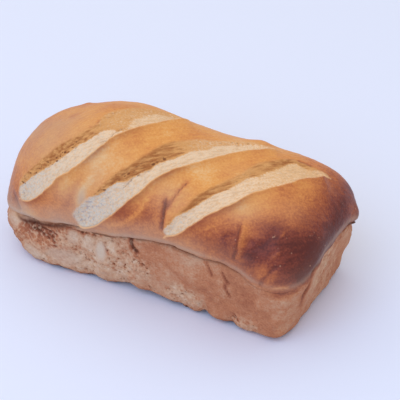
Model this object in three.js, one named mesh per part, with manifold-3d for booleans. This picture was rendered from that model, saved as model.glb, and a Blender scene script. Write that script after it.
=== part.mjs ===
// A white loaf baked in an open tin. Its walls flare as the tin does, a crease marks where the dough rose
// out of the tin, and above it a domed top hangs over the walls. Three slanting slashes cross the dome:
// each has a raised lip on its near side, a sheer drop behind the lip, and a floor that climbs back to
// the crust.
// Millimetres: +X along the loaf, +Y to its back, +Z up, the origin under the middle of the base.
import * as THREE from "three";
import { mergeGeometries, mergeVertices } from "three/addons/utils/BufferGeometryUtils.js";
import Module from "manifold-3d";

// Driving dimensions.
const reachLeft = 124; // from the middle to the widest of the dome
const reachRight = 125.5;
const halfWidth = 60;
const lipRise = 6; // from the crease up to the widest of the dome
const axisHeight = 45; // of the lengthways line that slant angles turn about
const roundRadius = 62; // turns slant angles into distances round the dome

// Lines along the loaf, as pairs of a place and a value there: height of the crown, then, for the front, the
// back and the two ends, height of the crease and how far the wall stands in under the dome.
const crownLine = [[-125, 108], [-85, 106], [-45, 111], [-5, 106], [35, 102.5], [75, 101.5], [125, 92]];
const creaseHeight = {
  front: [
    [-125, 31], [-105, 35.5], [-89, 40.5], [-51, 49], [-27, 53], [-12, 54], [8, 58.5],
    [26, 61], [52, 60], [78, 59], [98, 51], [125, 50],
  ],
  back: [[-125, 41], [-60, 52], [0, 57], [60, 61], [100, 56], [125, 52]],
  ends: [[-125, 37], [125, 61]],
};
const overhang = {
  front: [[-125, 1.5], [-106, 3], [-92, 6.5], [-50, 6], [-20, 4], [30, 3], [70, 1.5], [95, 0.8], [125, 0.4]],
  back: [[-125, 4], [-20, 5], [60, 3], [125, 4]],
  ends: [[-125, 1.5], [125, 0]],
};

// Plan outlines: reach to the left and right, half width, the length over which each end rounds off,
// and how square its corners are.
const domeOutline = {
  left: reachLeft, right: reachRight, half: halfWidth,
  roundLeft: 85, roundRight: 44, squareLeft: 2.75, squareRight: 3.7,
};
const baseOutline = {
  left: 112, right: 112.5, half: 51,
  roundLeft: 74, roundRight: 20, squareLeft: 4.2, squareRight: 5,
};
const roundingStart = 8; // softens the change from a straight side to a rounded end
const footSplay = 3; // the left part of the front stands this much further out at the base
const edgeInset = 6; // the base edge is drawn in by this much, over edgeHeight
const edgeHeight = 9;
const restInset = 16; // from the base edge in to the flat that it rests on

// The dome's section is a superellipse: inwards and upwards powers.
const sectionIn = 2.29;
const sectionUp = 1.7;
const shoulderLevel = 0.8; // share of the half width at which the rows of the sides end

// How finely the surface is divided: along, across, and in rows for the wall, the lip and the dome's side.
const alongCells = 60;
const acrossCells = 26;
const wallRows = 9;
const lipRows = 3;
const domeRows = 6;

// Hollows of the base edge: centre along the loaf, reach to each side, height clear of the ground, and how
// far the foot of the wall stands in.
const frontHollows = [
  { at: -69, reach: 6, height: 2, inset: 1 },
  { at: -39, reach: 6, height: 3, inset: 4.3 },
  { at: -12, reach: 11, height: 3, inset: 6.6 },
  { at: 7, reach: 10, height: 2.5, inset: 4.5 },
  { at: 28, reach: 8, height: 2, inset: 0 },
  { at: 51.5, reach: 4.5, height: 4, inset: 5 },
  { at: 72, reach: 5, height: 3, inset: 3.8 },
];
const backHollows = [
  { at: -60, reach: 16, height: 3, inset: 2 },
  { at: 10, reach: 9, height: 3, inset: 3 },
  { at: 62, reach: 18, height: 3, inset: 2 },
];

// Swellings and dents of the crust: place, reach and how far they stand out.
const knobs = [
  { at: [-112, -38, 27], reach: 13, height: 4.5 }, // where the crease turns the left end
  { at: [-104, 2, 83], reach: 24, height: 4 },
  { at: [-86, 27, 95], reach: 4, height: 1.5 },
  { at: [22, 43, 92], reach: 20, height: -1.8 },
  { at: [48, 42, 92], reach: 8, height: 2 }, // past the upper end of the middle slash
  { at: [124, 34, 60], reach: 7, height: 3 }, // a flap over the right end
  { at: [119, 36, 38], reach: 16, height: 1.5 },
  { at: [14, -53, 3], reach: 24, height: -2 },
];

// Slashes: ends as a place along the loaf and an angle round its axis, in degrees from the front, then
// the cut's depth, and its near and far edges as pairs of a share of its length and a distance to the left
// of the line between its ends.
const slashes = [
  {
    from: [-98, 12], to: [-15, 128], depth: 5,
    near: [
      [0, -3], [0.06, -9.2], [0.12, -12.3], [0.25, -15.8],
      [0.34, -19], [0.5, -20.5], [0.9, -18.8], [1, -14],
    ],
    far: [
      [0, 0], [0.06, 6.3], [0.12, 8.4], [0.37, 5], [0.55, 0.8],
      [0.63, 5.8], [0.85, 3.6], [0.95, 1.5], [1, -9],
    ],
  },
  {
    from: [-44, 12], to: [62, 126], depth: 5.5,
    near: [
      [0, -3], [0.04, -8.5], [0.15, -13.2], [0.25, -14],
      [0.4, -11.2], [0.6, -12.2], [0.93, -10.8], [1, -7],
    ],
    far: [
      [0, 4], [0.06, 6.6], [0.28, 8], [0.44, 11.4], [0.52, 15.2],
      [0.6, 15.2], [0.84, 11.5], [0.92, 8], [1, -2],
    ],
  },
  {
    from: [25, 24], to: [113, 119.5], depth: 4.5,
    near: [
      [0, -2.5], [0.05, -6.2], [0.2, -9.4], [0.38, -11.5],
      [0.63, -10.6], [0.74, -6], [0.84, -2.3], [1, 9],
    ],
    far: [[0, 0.7], [0.08, 3.7], [0.25, 7.6], [0.5, 11.9], [0.59, 17], [0.83, 21.8], [0.9, 16], [1, 11]],
  },
];
const slashStations = 20;
const lipLift = 2.6; // the crust beside a slash stands up by this much
const lipReach = 10; // and settles over this distance
const lipDrop = 3; // on its slash side it falls away over this one
const fullOpening = 10; // narrower than this, a slash is shallower and its lip lower

const clamp = (value, low, high) => Math.min(high, Math.max(low, value));
const ease = (t) => clamp(t, 0, 1) ** 2 * (3 - 2 * clamp(t, 0, 1));
const bell = (t) => Math.exp(-t * t);
const mix = (from, to, share) => from + (to - from) * share;

// The value at a place on a smooth line through pairs of a place and a value.
function along(line, at) {
  const place = clamp(at, line[0][0], line.at(-1)[0]);
  const next = Math.max(1, line.findIndex(([end]) => end >= place));
  const slope = (i) => {
    const [before, after] = [line[Math.max(0, i - 1)], line[Math.min(line.length - 1, i + 1)]];
    return (after[1] - before[1]) / (after[0] - before[0]);
  };
  const [[start, low], [end, high]] = [line[next - 1], line[next]];
  const t = (place - start) / (end - start);
  const turn = t * (1 - t) * (end - start) * ((1 - t) * slope(next - 1) - t * slope(next));
  return mix(low, high, ease(t)) + turn;
}

// A value that has its own line along the front, the back and the two ends.
function around({ front, back, ends }, x, y) {
  const [near, far] = [ease((-y - 15) / 35), ease((y - 15) / 35)];
  return near * along(front, x) + far * along(back, x) + (1 - near - far) * along(ends, x);
}

// Carries a point of the square -1..1 to a loaf outline in plan. Along the straight sides it keeps its
// place. Towards the ends its ring becomes a superellipse, drawn in to `level` of the way out from the
// long middle line.
function planPoint(a, b, outline, level = 1) {
  const [reach, round, square] =
    a < 0
      ? [outline.left, outline.roundLeft, outline.squareLeft]
      : [outline.right, outline.roundRight, outline.squareRight];
  const beyond = Math.abs(a) * reach - (reach - round);
  const eased = Math.max(0, beyond + roundingStart) ** 2 / (4 * roundingStart);
  const into = beyond > roundingStart ? beyond : eased;
  const [across, outwards] = [Math.abs(b), into / round];
  const ring = Math.max(across, outwards);
  const draw = ring > 0 ? ring / (across ** square + outwards ** square) ** (1 / square) : 1;
  return {
    x: Math.sign(a) * (Math.abs(a) * reach - into + into * draw * level),
    y: b * outline.half * draw * level,
    level: ring * level,
  };
}

// Height and inset of the base edge at a place: the largest of the hollows along its side.
function hollowAt(x, y) {
  const side = ease((Math.abs(y) / baseOutline.half - 0.6) / 0.3);
  const hollows = y < 0 ? frontHollows : backHollows;
  const shares = hollows.map(({ at, reach }) => side * bell((x - at) / reach));
  return {
    height: Math.max(...hollows.map(({ height }, i) => height * shares[i])),
    inset: Math.max(...hollows.map(({ inset }, i) => inset * shares[i])),
  };
}

// A point of the dome inside the outline, at its height.
function domePoint(a, b, level) {
  const { x, y, level: ring } = planPoint(a, b, domeOutline, level);
  const climb = (1 - Math.min(1, ring) ** sectionIn) ** (1 / sectionUp);
  return new THREE.Vector3(x, y, mix(around(creaseHeight, x, y) + lipRise, along(crownLine, x), climb));
}

// A point of the wall: share 0 at the base edge, 1 in the crease.
function wallPoint(a, b, share) {
  const foot = planPoint(a, b, baseOutline);
  const splay = footSplay * ease(-b) * ease((-35 - foot.x) / 45);
  const rim = planPoint(a, b, domeOutline);
  const hollow = hollowAt(foot.x, foot.y);
  const height = mix(hollow.height, around(creaseHeight, rim.x, rim.y), share);
  const point = new THREE.Vector2(mix(foot.x, rim.x, share), mix(foot.y - splay, rim.y, share));
  const outwards = point.clone().sub(new THREE.Vector2(clamp(point.x, -70, 95), 0)).normalize();
  const edge = edgeInset * (1 - clamp(height / edgeHeight, 0, 1)) ** 2 + hollow.inset * (1 - share) ** 2;
  const recess = around(overhang, rim.x, rim.y) * (0.4 * share + 0.6 * ease((share - 0.6) / 0.4));
  point.addScaledVector(outwards, -edge - recess);
  return new THREE.Vector3(point.x, point.y, height);
}

// The underside of the lip: a quarter turn from the crease out to the widest of the dome.
function lipPoint(a, b, share) {
  const [crease, widest] = [wallPoint(a, b, 1), domePoint(a, b, 1)];
  const turn = (share * Math.PI) / 2;
  const point = crease.clone().lerp(widest, Math.sin(turn));
  return point.setZ(mix(crease.z, widest.z, 1 - Math.cos(turn)));
}

// A point of a box from -1 to 1 carried to the loaf. The box's top is the dome, its sides are the rows of
// the wall, the lip and the dome's side.
function loafPoint(a, b, c) {
  if (c > 0.9999) return domePoint(a, b, shoulderLevel);
  const row = Math.round(((c + 1) / 2) * (wallRows + lipRows + domeRows));
  if (row <= wallRows) return wallPoint(a, b, row / wallRows);
  if (row <= wallRows + lipRows) return lipPoint(a, b, (row - wallRows) / lipRows);
  const turn = ((row - wallRows - lipRows) / domeRows) * Math.acos(shoulderLevel ** (sectionIn / 2));
  return domePoint(a, b, Math.cos(turn) ** (2 / sectionIn));
}

// The nearest of the evenly spaced places from -1 to 1.
const snap = (value, cells) => (2 * Math.round(((value + 1) / 2) * cells)) / cells - 1;

// A box divided into cells, without its bottom.
function openBox() {
  const box = new THREE.BoxGeometry(2, 2, 2, alongCells, acrossCells, wallRows + lipRows + domeRows);
  const bottom = box.groups.at(-1);
  box.setIndex([...box.index.array].filter((_, i) => i < bottom.start));
  const spots = box.getAttribute("position");
  for (let i = 0; i < spots.count; i++) {
    const [a, b] = [snap(spots.getX(i), alongCells), snap(spots.getY(i), acrossCells)];
    spots.setXYZ(i, ...loafPoint(a, b, spots.getZ(i)));
  }
  return box;
}

// The base: a band from the base edge in to the flat, and the flat itself in strips from front to back.
function base() {
  const spots = [];
  const index = [];
  const grid = (cells) => Array.from({ length: cells + 1 }, (_, i) => snap((2 * i) / cells - 1, cells));
  const [columns, rows] = [grid(alongCells), grid(acrossCells)];
  const ring = [
    ...columns.map((a) => [a, -1]),
    ...rows.slice(1).map((b) => [1, b]),
    ...columns.toReversed().slice(1).map((a) => [a, 1]),
    ...rows.toReversed().slice(1, -1).map((b) => [-1, b]),
  ];
  for (const [a, b] of ring) {
    const inner = planPoint(a, b, baseOutline, 1 - restInset / baseOutline.half);
    spots.push(wallPoint(a, b, 0), new THREE.Vector3(inner.x, inner.y, 0));
  }
  const count = ring.length;
  for (let i = 0; i < count; i++) {
    const [p, q] = [2 * i, 2 * ((i + 1) % count)];
    index.push(p, p + 1, q + 1, p, q + 1, q);
  }
  const rest = (i) => 2 * i + 1;
  const backStart = alongCells + acrossCells;
  for (let i = 0; i < alongCells; i++) {
    const [back, backNext] = [backStart + alongCells - i, backStart + alongCells - i - 1];
    index.push(rest(i), rest(back), rest(backNext), rest(i), rest(backNext), rest(i + 1));
  }
  for (let i = 1; i < acrossCells; i++) {
    index.push(rest(alongCells), rest(alongCells + i + 1), rest(alongCells + i));
    const left = backStart + alongCells + i;
    index.push(rest(0), rest(left), rest(left - 1));
  }
  return new THREE.BufferGeometry().setFromPoints(spots).setIndex(index);
}

// A slash as a strip over the dome: where it starts, its direction and length. Distances run along the loaf
// and, from the angle, round it.
const arcOf = (degrees) => THREE.MathUtils.degToRad(degrees - 90) * roundRadius;
function stripOf({ from, to }) {
  const start = new THREE.Vector2(from[0], arcOf(from[1]));
  const way = new THREE.Vector2(to[0], arcOf(to[1])).sub(start);
  const length = way.length();
  way.normalize();
  return { start, way, left: new THREE.Vector2(-way.y, way.x), length };
}

// How far a place on the crust is raised by the lips of the slashes.
function lipRelief(point) {
  const angle = THREE.MathUtils.radToDeg(Math.atan2(point.z - axisHeight, -point.y));
  return slashes.reduce((raised, slash) => {
    const { start, way, left, length } = stripOf(slash);
    const offset = new THREE.Vector2(point.x, arcOf(angle)).sub(start);
    const share = offset.dot(way) / length;
    const beside = along(slash.near, share) - offset.dot(left);
    const open = along(slash.far, share) - along(slash.near, share);
    const crest = beside > 0 ? bell(beside / lipReach) : bell(beside / lipDrop);
    const within = ease((share + 0.02) / 0.05) * ease((1.02 - share) / 0.1);
    return raised + lipLift * crest * Math.min(1, open / fullOpening) * within;
  }, 0);
}

// A random number from -1 to 1 that belongs to a place with whole coordinates.
function chance(i, j, k) {
  const wave = Math.sin(i * 12.9898 + j * 78.233 + k * 37.719) * 43758.5453;
  return 2 * (wave - Math.floor(wave)) - 1;
}

// Uneven swells from -1 to 1, eased between the random numbers of the places around a point.
function noise(x, y, z) {
  const [i, j, k] = [x, y, z].map(Math.floor);
  const [s, t, u] = [ease(x - i), ease(y - j), ease(z - k)];
  const edge = (back, up) => mix(chance(i, j + back, k + up), chance(i + 1, j + back, k + up), s);
  return mix(mix(edge(0, 0), edge(1, 0), t), mix(edge(0, 1), edge(1, 1), t), u);
}

// Slow swells of the crust and rougher ones of the wall, in and out along the surface's normal.
function swell({ x, y, z }) {
  const side = ease((around(creaseHeight, x, y) + lipRise - z) / 12);
  const at = (long, wide, start) => noise(x / long + start, y / wide, z / wide);
  const dome = 1.1 * at(36, 26, 3.1) + 0.5 * at(17, 15, 7.3);
  const wall = 1.4 * at(24, 20, 9.2) + 1.1 * at(10, 8, 5.7);
  return mix(dome, wall * ease(z / 8), side);
}

// The loaf before it is slashed.
function riseLoaf() {
  const parts = [openBox(), base()];
  parts.forEach((part) => ["normal", "uv"].forEach((name) => part.deleteAttribute(name)));
  const loaf = mergeVertices(mergeGeometries(parts), 1e-3);
  loaf.computeVertexNormals();
  const [spots, normals] = [loaf.getAttribute("position"), loaf.getAttribute("normal")];
  for (let i = 0; i < spots.count; i++) {
    const spot = new THREE.Vector3().fromBufferAttribute(spots, i);
    if (spot.z < 0.01) continue;
    const bulge = knobs.reduce((sum, { at, reach, height }) => {
      return sum + height * bell(spot.distanceTo(new THREE.Vector3(...at)) / reach);
    }, 0);
    const outwards = new THREE.Vector3().fromBufferAttribute(normals, i);
    spot.addScaledVector(outwards, swell(spot) + lipRelief(spot) + bulge);
    spots.setXYZ(i, spot.x, spot.y, Math.max(0, spot.z));
  }
  loaf.deleteAttribute("normal");
  return loaf;
}

// A closed solid through rings of the same number of points, its ends closed by fans.
function loft(rings) {
  const size = rings[0].length;
  const index = [];
  for (let i = 0; i + 1 < rings.length; i++) {
    for (let j = 0; j < size; j++) {
      const [p, q] = [i * size + j, i * size + ((j + 1) % size)];
      index.push(p, q, q + size, p, q + size, p + size);
    }
  }
  const last = (rings.length - 1) * size;
  for (let j = 1; j + 1 < size; j++) {
    index.push(0, j + 1, j, last, last + j, last + j + 1);
  }
  return new THREE.BufferGeometry().setFromPoints(rings.flat()).setIndex(index);
}

// The space that a slash opens. Across it runs from the sheer lip over the floor to the far crust.
function slashSpace(slash, crust) {
  const { start, way, left, length } = stripOf(slash);
  const above = 9;
  const rings = [];
  const sight = (outwards, x) => new THREE.Raycaster(new THREE.Vector3(x, 0, axisHeight), outwards);
  for (let i = 0; i <= slashStations; i++) {
    const share = mix(0.01, 0.99, i / slashStations);
    const [near, far] = [along(slash.near, share), along(slash.far, share)];
    const depth = slash.depth * Math.min(1, (far - near) / fullOpening);
    const section = [
      [0, above],
      [0.06, -depth],
      [0.45, -0.8 * depth],
      [0.92, -0.3 * depth],
      [1, above],
    ];
    rings.push(
      section.map(([across, up]) => {
        const spot = start.clone().addScaledVector(way, share * length);
        spot.addScaledVector(left, mix(near, far, across));
        const angle = spot.y / roundRadius + Math.PI / 2;
        const outwards = new THREE.Vector3(0, -Math.cos(angle), Math.sin(angle));
        const [hit] = sight(outwards, spot.x).intersectObject(crust);
        return hit.point.addScaledVector(outwards, up);
      }),
    );
  }
  return loft(rings);
}

const wasm = await Module();
wasm.setup();

// A geometry's closed surface as a solid.
function solidOf(geometry) {
  const merged = mergeVertices(geometry, 1e-4);
  return new wasm.Manifold(
    new wasm.Mesh({
      numProp: 3,
      vertProperties: new Float32Array(merged.getAttribute("position").array),
      triVerts: new Uint32Array(merged.index.array),
    }),
  );
}

// The solid's surface as a geometry, with the origin under the middle of its base.
function geometryOf(solid) {
  const { vertProperties, triVerts } = solid.getMesh();
  const geometry = new THREE.BufferGeometry();
  geometry.setAttribute("position", new THREE.BufferAttribute(vertProperties, 3));
  geometry.setIndex(new THREE.BufferAttribute(triVerts, 1));
  geometry.computeBoundingBox();
  const middle = geometry.boundingBox.getCenter(new THREE.Vector3());
  geometry.translate(-middle.x, -middle.y, -geometry.boundingBox.min.z);
  geometry.computeVertexNormals();
  return geometry;
}

const risen = riseLoaf();
const crust = new THREE.Mesh(risen, new THREE.MeshBasicMaterial({ side: THREE.DoubleSide }));
const spaces = slashes.map((slash) => solidOf(slashSpace(slash, crust)));
const slashed = spaces.reduce((whole, space) => whole.subtract(space), solidOf(risen));

const bakedCrust = new THREE.MeshStandardMaterial({ color: 0xb9783f, roughness: 0.55, metalness: 0 });
const loaf = new THREE.Mesh(geometryOf(slashed), bakedCrust);
loaf.name = "loaf";

const tinLoaf = new THREE.Group();
tinLoaf.add(loaf);
export default tinLoaf;
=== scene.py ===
# A tin loaf with three slashes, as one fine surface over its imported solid, on a pale floor.
# The loaf's form is worked out in millimetres, with +X along it, +Y to its back and +Z up, and goes into
# the mesh in metres.
import math

import bpy
import numpy as np
from mathutils import Matrix, Vector


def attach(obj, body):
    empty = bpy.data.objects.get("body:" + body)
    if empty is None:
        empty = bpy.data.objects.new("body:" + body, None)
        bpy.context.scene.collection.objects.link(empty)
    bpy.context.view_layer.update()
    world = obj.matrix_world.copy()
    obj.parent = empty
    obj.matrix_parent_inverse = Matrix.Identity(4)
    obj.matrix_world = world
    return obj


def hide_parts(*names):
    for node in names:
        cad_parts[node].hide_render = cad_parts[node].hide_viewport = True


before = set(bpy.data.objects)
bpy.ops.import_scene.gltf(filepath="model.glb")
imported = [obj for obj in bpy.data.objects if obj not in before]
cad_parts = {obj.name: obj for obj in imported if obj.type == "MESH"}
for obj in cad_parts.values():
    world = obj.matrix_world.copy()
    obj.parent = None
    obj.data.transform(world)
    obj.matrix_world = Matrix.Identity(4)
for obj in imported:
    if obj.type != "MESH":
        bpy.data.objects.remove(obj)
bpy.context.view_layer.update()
millimetre = 0.001  # metres

# The loaf's form, from the same driving sizes as its solid.
form = {
    "lipRise": 6,  # from the crease up to the widest of the dome
    "axisHeight": 45,  # of the lengthways line that slant angles turn about
    "roundRadius": 62,  # turns slant angles into distances round the dome
    "roundingStart": 8,  # softens the change from a straight side to a rounded end
    "footSplay": 3,  # the left part of the front stands this much further out at the base
    "edgeInset": 6,  # the base edge is drawn in by this much, over edgeHeight
    "edgeHeight": 9,
    "restInset": 16,  # from the base edge in to the flat that it rests on
    "sectionIn": 2.29,  # the dome's section is a superellipse with these powers inwards and upwards
    "sectionUp": 1.7,
    "shoulderLevel": 0.8,  # share of the half width at which the rows of the sides end
    "drawMiddle": (-70, 95),  # the wall is drawn in straight across between these, and round them at its ends
    "drawEven": 0.4,  # share of the overhang that comes in evenly, and of the wall over which the rest does
}

# Lines along the loaf: pairs of a place and a value.
crownLine = [(-125, 108), (-85, 106), (-45, 111), (-5, 106), (35, 102.5), (75, 101.5), (125, 92)]
creaseHeight = {
    "front": [
        (-125, 31), (-105, 35.5), (-89, 40.5), (-51, 49), (-27, 53), (-12, 54), (8, 58.5),
        (26, 61), (52, 60), (78, 59), (98, 51), (125, 50),
    ],
    "back": [(-125, 41), (-60, 52), (0, 57), (60, 61), (100, 56), (125, 52)],
    "ends": [(-125, 37), (125, 61)],
}
overhang = {
    "front": [
        (-125, 1.5), (-106, 3), (-92, 6.5), (-50, 6), (-20, 4), (30, 3), (70, 1.5), (95, 0.8), (125, 0.4),
    ],
    "back": [(-125, 4), (-20, 5), (60, 3), (125, 4)],
    "ends": [(-125, 1.5), (125, 0)],
}

# Plan outlines: reach to the left and right, half width, the length over which each end rounds off,
# and how square its corners are.
domeOutline = {
    "left": 124, "right": 125.5, "half": 60,
    "roundLeft": 85, "roundRight": 44, "squareLeft": 2.75, "squareRight": 3.7,
}
baseOutline = {
    "left": 112, "right": 112.5, "half": 51,
    "roundLeft": 74, "roundRight": 20, "squareLeft": 4.2, "squareRight": 5,
}

# Hollows of the base edge: centre along the loaf, reach to each side, height clear of the ground, and how
# far the foot of the wall stands in there.
frontHollows = [
    (-69, 6, 3, 0.5), (-39, 6, 4.2, 2), (-12, 11, 4.4, 3), (7, 10, 3.5, 2), (28, 8, 3, 0),
    (51.5, 4.5, 5.5, 2.4), (72, 5, 4.2, 1.7),
]
backHollows = [(-60, 16, 4, 1), (10, 9, 4, 1.5), (62, 18, 4, 1)]

# Swellings and dents of the crust: place, reach and how far they stand out.
knobs = [
    ((-112, -38, 27), 13, 4.5),  # where the crease turns the left end
    ((-104, 2, 83), 24, 4),
    ((-86, 27, 95), 4, 1.5),
    ((22, 43, 92), 20, -1.8),
    ((48, 42, 92), 8, 2),  # past the upper end of the middle slash
    ((124, 34, 60), 7, 3),  # a flap over the right end
    ((119, 36, 38), 16, 1.5),
    ((14, -53, 3), 24, -2),
]

# Slashes: ends as a place along the loaf and an angle round its axis, in degrees from the front. Then
# pairs of a share of its length and a distance to the left of the line between its ends: its near and far
# edges, and the edge between the pale crumb beside the near edge and the browned crumb beyond. Last come how
# brown that is, how golden the pale crumb is, how much the edge between them is dotted with pores, and how
# scorched the crust is outside the near edge, which also paints the shade where the lip turns from the light.
slashes = [
    {
        "start": (-98, 12), "end": (-15, 128), "depth": 5,
        "near": [
            (0, -3), (0.06, -9.2), (0.12, -12.3), (0.22, -15.7), (0.28, -15.8), (0.34, -19.4), (0.45, -20.6),
            (0.52, -19.4), (0.62, -19.4), (0.75, -20.4), (0.9, -19.4), (1, -14),
        ],
        "far": [
            (0, 0), (0.05, 6), (0.12, 8.4), (0.25, 6.7), (0.37, 5), (0.44, 2.8), (0.55, 0.8), (0.62, 5.8),
            (0.7, 5.6), (0.85, 3.6), (0.95, 1.5), (1, -9),
        ],
        "pale": [
            (0, 3), (0.1, 3.2), (0.2, 0.2), (0.3, -2.8), (0.45, -5.2), (0.55, -6.5), (0.6, -9), (0.63, -13),
            (0.67, -13), (0.72, -8), (0.8, -4), (0.89, -1), (1, -4),
        ],
        "brown": [(0, 0.6), (0.15, 0.9), (0.3, 1.1), (0.5, 1), (0.6, 0.7), (1, 0.5)],
        "tone": [(0, 0.1), (0.4, 0.4), (0.55, 0.5), (0.65, 0.75), (1, 0.9)],
        "pores": [(0, 0.9), (0.42, 1), (0.5, 0.3), (0.6, 0.1), (0.7, 0.5), (1, 0)],
        "scorchAndShade": [
            (0, 0.2), (0.1, 0.8), (0.2, 0.5), (0.35, 0.4), (0.5, 0.9), (0.57, 0.5), (0.65, 0.6),
            (0.75, 0.2), (1, 0),
        ],
    },
    {
        "start": (-44, 12), "end": (62, 126), "depth": 5.5,
        "near": [
            (0, -3), (0.03, -7.5), (0.08, -10.8), (0.15, -13.2), (0.25, -14), (0.34, -13), (0.4, -11.2),
            (0.47, -10.8), (0.6, -12.2), (0.8, -11.2), (0.93, -10.8), (1, -7),
        ],
        "far": [
            (0, 4), (0.06, 6.6), (0.17, 6.8), (0.28, 8), (0.38, 9.6), (0.44, 11.4), (0.5, 15), (0.6, 15.2),
            (0.75, 12.6), (0.84, 11.5), (0.92, 8), (1, -2),
        ],
        "pale": [
            (0, 5), (0.12, 5.9), (0.17, 3.3), (0.26, 2.8), (0.3, 0.3), (0.4, 0.6), (0.5, 2.2), (0.6, 4.2),
            (0.68, 4.4), (0.77, 8), (0.85, 8.4), (1, 3),
        ],
        "brown": [
            (0, 0.4), (0.12, 0.8), (0.2, 1), (0.35, 1.2), (0.5, 1.1), (0.65, 0.6), (0.8, 0.5), (1, 0.5),
        ],
        "tone": [(0, 0), (0.15, 0.1), (0.45, 0.5), (0.75, 0.65), (1, 0.9)],
        "pores": [(0, 0.2), (0.12, 0.4), (0.25, 1), (0.5, 0.9), (0.6, 0.2), (0.8, 0.5), (1, 0.4)],
        "scorchAndShade": [(0, 0.2), (0.15, 0.3), (0.28, 0.9), (0.38, 0.7), (0.47, 0.9), (0.6, 0.3), (1, 0.1)],
    },
    {
        "start": (25, 24), "end": (113, 119.5), "depth": 4.5,
        "near": [
            (0, -2.5), (0.05, -6.2), (0.1, -8), (0.2, -9.4), (0.38, -11.5), (0.44, -10.7), (0.63, -10.6),
            (0.69, -8.8), (0.74, -6), (0.84, -2.3), (0.89, 0.2), (1, 9),
        ],
        "far": [
            (0, 0.7), (0.08, 3.7), (0.17, 5.2), (0.25, 7.6), (0.4, 9.3), (0.5, 11.9), (0.59, 17), (0.7, 19.6),
            (0.83, 21.8), (0.87, 18.7), (0.92, 14), (1, 11),
        ],
        "pale": [
            (0, 0.7), (0.04, 0.8), (0.08, 1.6), (0.2, 2), (0.3, 2.6), (0.38, 3.4), (0.5, 5.9), (0.64, 8.9),
            (0.7, 12.3), (0.82, 19), (0.87, 13.4), (1, 12),
        ],
        "brown": [
            (0, 0.9), (0.15, 1.3), (0.3, 1.2), (0.45, 0.8), (0.65, 1), (0.8, 1.1), (0.9, 0.8), (1, 0.5),
        ],
        "tone": [(0, 0.2), (0.35, 0.6), (0.7, 0.95), (1, 1)],
        "pores": [(0, 0.5), (0.3, 0.3), (0.45, 0.2), (0.6, 0), (1, 0)],
        "scorchAndShade": [(0, 0.3), (0.2, 0.8), (0.4, 0.8), (0.5, 0.3), (0.75, 0.1), (1, 0)],
    },
]
cut = {
    "lipLift": 2.6,  # the crust beside a slash stands up by this much
    "lipReach": 10,  # and settles over this distance
    "lipDrop": 3,  # on its slash side it falls away over this one
    "lipStart": 0.05,  # shares of a slash over which its lip rises and dies away, from overrun past its ends
    "lipEnd": 0.1,
    "overrun": 0.02,
    "fullOpening": 10,  # narrower than this, a slash is shallower and its lip lower
    "floor": [(0, 0.2), (0.1, 0.35), (0.5, 0.5), (0.85, 0.35), (1, 0.3)],  # share across, share of the depth
    "sheer": 0.9,  # width of the drop behind the lip
    "farSheer": 3.6,  # and of the softer one at the far edge
    "endSlope": 4,  # and how far in from a slash's ends its floor has come down
    "farBlend": 3.5,  # over which the far edge's colours go into each other
    "pull": 4,  # surface points this near to an edge are drawn to it, which keeps it crisp
    "pullPower": 1.7,
    "pullFade": 0.03,  # share of a slash, at its ends
    "curl": 0.7,  # the lip's rim turns up by this much more
    "curlReach": 2.2,
    "tear": 0.55,  # how far the edges wander
    "tearSwells": [(11, 1), (4.5, 0.7), (1.9, 0.4)],  # lengths of the swells that they wander by, and shares
    "paleTear": 1.6,  # the pale crumb's edge wanders this much more
    "paleBlend": 1.2,
    "poreShift": 1.6,  # the pores lie round a line this far past that edge, and thin out over poreBand
    "poreBand": 2.6,
    "strand": (6, 1.5),  # length and width of the browned crumb's strands
    "strandHeight": 0.6,
    "strandBase": 0.4,  # how far the browned crumb stands over the pale one
    "scorchAndShadeReach": 4.5,
}

# How finely the surface is divided: cells along and across, then rows from the middle of the base to the
# flat's edge, on to the base edge, up the wall, round the lip and up the dome's side.
lattice = {"along": 208, "across": 100, "flat": 7, "band": 8, "wall": 48, "lip": 14, "side": 34}


def ease(t):  # a smooth step from 0 to 1
    t = np.clip(t, 0, 1)
    return t * t * (3 - 2 * t)


def bell(t):  # 1 at 0, and down to nothing by 2 on either side
    return np.exp(-t * t)


def mix(start, end, share):  # part of the way from start to end
    return start + (end - start) * share


# The value at a place on a line through points: cubics whose slopes come from the points beside.
def along(line, at):
    places, values = np.array(line, float).T
    place = np.clip(at, places[0], places[-1])
    i = np.clip(np.searchsorted(places, place) - 1, 0, len(places) - 2)
    before = np.maximum(np.arange(len(places)) - 1, 0)
    after = np.minimum(np.arange(len(places)) + 1, len(places) - 1)
    slope = (values[after] - values[before]) / (places[after] - places[before])
    gap = places[i + 1] - places[i]
    t = (place - places[i]) / gap
    bend = t * (1 - t) * gap * ((1 - t) * slope[i] - t * slope[i + 1])
    return mix(values[i], values[i + 1], ease(t)) + bend


# A value with its own line along the front, the back and the two ends, blended by y.
def around(lines, x, y):
    front, back = ease((-y - 15) / 35), ease((y - 15) / 35)
    sides = front * along(lines["front"], x) + back * along(lines["back"], x)
    return sides + (1 - front - back) * along(lines["ends"], x)


# Carries a point of the square -1..1 to an outline in plan: it keeps its place along the straight sides,
# and towards the ends its ring becomes a superellipse, drawn in to level of the way out from the middle line.
def planPoint(a, b, outline, level):
    left = a < 0
    reach = np.where(left, outline["left"], outline["right"])
    rounded = np.where(left, outline["roundLeft"], outline["roundRight"])
    square = np.where(left, outline["squareLeft"], outline["squareRight"])
    soft = form["roundingStart"]
    beyond = np.abs(a) * reach - (reach - rounded)
    into = np.where(beyond > soft, beyond, np.maximum(0, beyond + soft) ** 2 / (4 * soft))
    across, outwards = np.abs(b), into / rounded
    ring = np.maximum(across, outwards)
    size = (across**square + outwards**square) ** (1 / square)
    draw = np.where(size > 0, ring / np.maximum(size, 1e-9), 1)
    x = np.sign(a) * (np.abs(a) * reach - into + into * draw * level)
    return x, b * outline["half"] * draw * level, ring * level


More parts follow.
